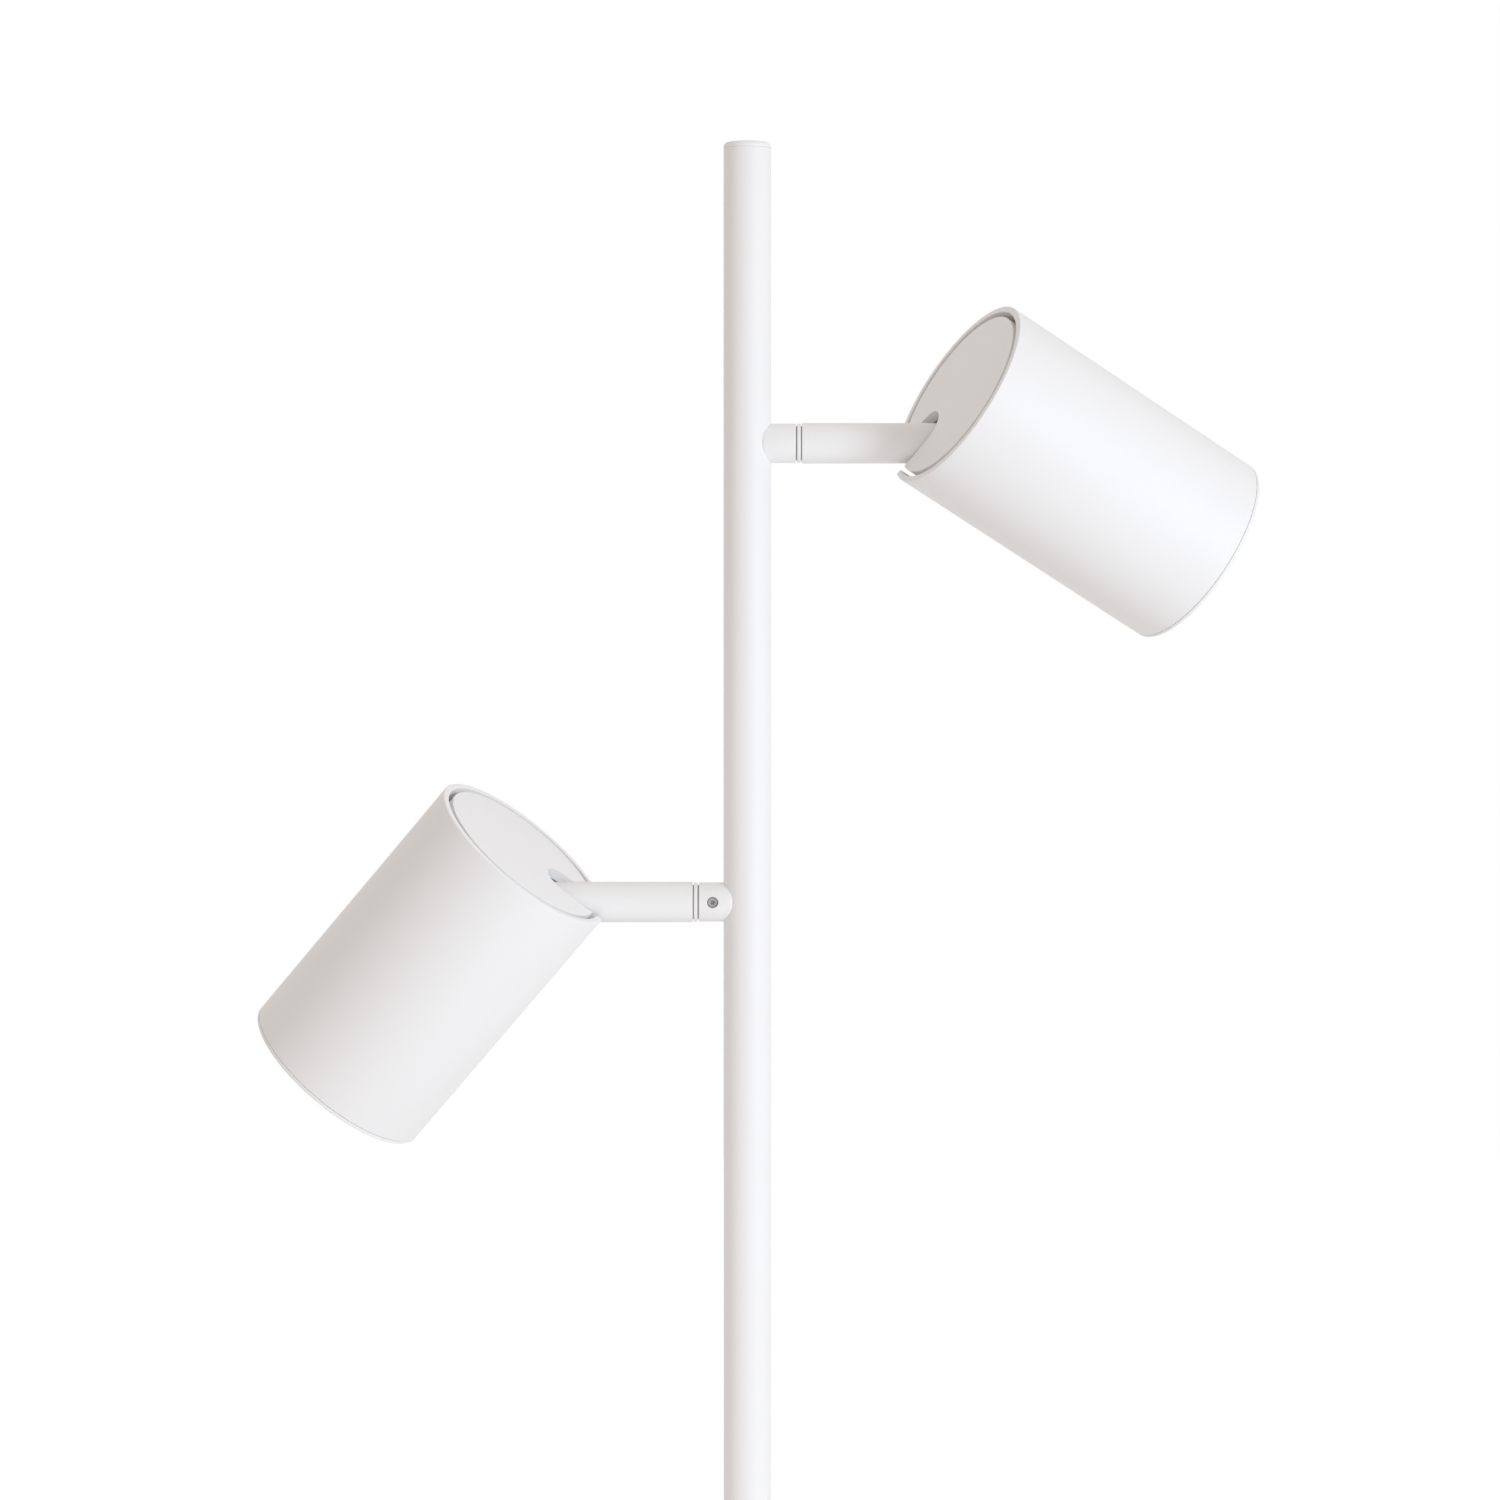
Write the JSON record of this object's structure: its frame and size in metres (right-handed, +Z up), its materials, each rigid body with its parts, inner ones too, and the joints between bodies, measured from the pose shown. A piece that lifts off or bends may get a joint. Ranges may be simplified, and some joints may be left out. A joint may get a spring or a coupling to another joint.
{
  "type": "floor lamp",
  "caption": "Free-standing floor lamp: slim round pole on a weighted round base, with adjustable cylindrical spots on swivelling side arms.",
  "frame": {"origin": "centre of the foot pad's underside, on the pole's axis, on the floor", "axes": "+Z up along the pole; +X towards the upper arm; +Y towards the cord inlet, the side that the heads point to at rest"},
  "size_m": [0.3391, 0.2216, 1.5],
  "materials": {
    "white_paint": "satin",
    "cast_iron": "matte",
    "zinc_plate": "satin",
    "threaded_steel": "satin",
    "bright_steel": "polished",
    "grub_steel": "satin",
    "brass": "satin",
    "foam": "matte",
    "black_nylon": "matte",
    "terminal_nylon": "satin",
    "washer_nylon": "satin",
    "lead_sheath": "matte",
    "holder_ceramic": "matte",
    "lamp_plastic": "gloss",
    "lamp_lens": "gloss"
  },
  "bodies": {
    "stand": {"base_cover": "white_paint", "base_weight": "cast_iron", "base_plate": "zinc_plate", "base_pad": "foam", "base_screws": "bright_steel", "base_nut": "bright_steel", "base_washer": "bright_steel", "base_stud": "threaded_steel", "cord_gland": "black_nylon", "terminal_block": "terminal_nylon", "terminal_screws": "brass", "pole_lower": "white_paint", "pole_middle": "white_paint", "pole_upper": "white_paint", "pole_inserts": "threaded_steel", "coupling_studs": "threaded_steel", "pole_cap": "white_paint", "pole_anchors": "threaded_steel", "anchor_studs": "threaded_steel", "grub_screws": "grub_steel", "upper_pole_lead": "lead_sheath", "lower_pole_lead": "lead_sheath", "upper_knuckle": "white_paint", "lower_knuckle": "white_paint"},
    "upper_arm": {"upper_swivel_spigot": "threaded_steel", "upper_swivel_washers": "washer_nylon", "upper_swivel_ring": "white_paint", "upper_arm_tube": "white_paint", "upper_tilt_screws": "bright_steel", "upper_tilt_washers": "washer_nylon", "upper_arm_lead": "lead_sheath"},
    "upper_head": {"upper_head_shell": "white_paint", "upper_rear_cap": "white_paint", "upper_tilt_bracket": "zinc_plate", "upper_lampholder": "holder_ceramic", "upper_head_screws": "bright_steel", "upper_head_lead": "lead_sheath", "upper_front_ring": "white_paint"},
    "upper_lamp": {"upper_lamp_body": "lamp_plastic", "upper_lamp_lens": "lamp_lens", "upper_lamp_pins": "bright_steel"},
    "lower_arm": {"lower_swivel_spigot": "threaded_steel", "lower_swivel_washers": "washer_nylon", "lower_swivel_ring": "white_paint", "lower_arm_tube": "white_paint", "lower_tilt_screws": "bright_steel", "lower_tilt_washers": "washer_nylon", "lower_arm_lead": "lead_sheath"},
    "lower_head": {"lower_head_shell": "white_paint", "lower_rear_cap": "white_paint", "lower_tilt_bracket": "zinc_plate", "lower_lampholder": "holder_ceramic", "lower_head_screws": "bright_steel", "lower_head_lead": "lead_sheath", "lower_front_ring": "white_paint"},
    "lower_lamp": {"lower_lamp_body": "lamp_plastic", "lower_lamp_lens": "lamp_lens", "lower_lamp_pins": "bright_steel"}
  },
  "joints": [
    {"name": "upper_swivel", "type": "hinge", "parent": "stand", "child": "upper_arm", "pos_m": [0.0163, 0, 1.3987], "axis": [1, 0, 0], "range_deg": [-188, 122]},
    {"name": "upper_tilt", "type": "hinge", "parent": "upper_arm", "child": "upper_head", "pos_m": [0.0665, 0, 1.3987], "axis": [0, 0.8387, 0.5446], "range_deg": [-36.5, 53.5]},
    {"name": "upper_lamp_lock", "type": "hinge", "parent": "upper_head", "child": "upper_lamp", "pos_m": [0.11831, 0.00902, 1.38481], "axis": [0.8039, 0.324, -0.4989], "range_deg": [0, 20]},
    {"name": "lower_swivel", "type": "hinge", "parent": "stand", "child": "lower_arm", "pos_m": [-0.0163, 0, 1.2442], "axis": [-1, 0, 0], "range_deg": [-136, 174]},
    {"name": "lower_tilt", "type": "hinge", "parent": "lower_arm", "child": "lower_head", "pos_m": [-0.0665, 0, 1.2442], "axis": [0, -0.9455, -0.3256], "range_deg": [-51, 39]},
    {"name": "lower_lamp_lock", "type": "hinge", "parent": "lower_head", "child": "lower_lamp", "pos_m": [-0.11251, 0.00945, 1.21677], "axis": [-0.6293, 0.253, -0.7348], "range_deg": [0, 20]}
  ]
}
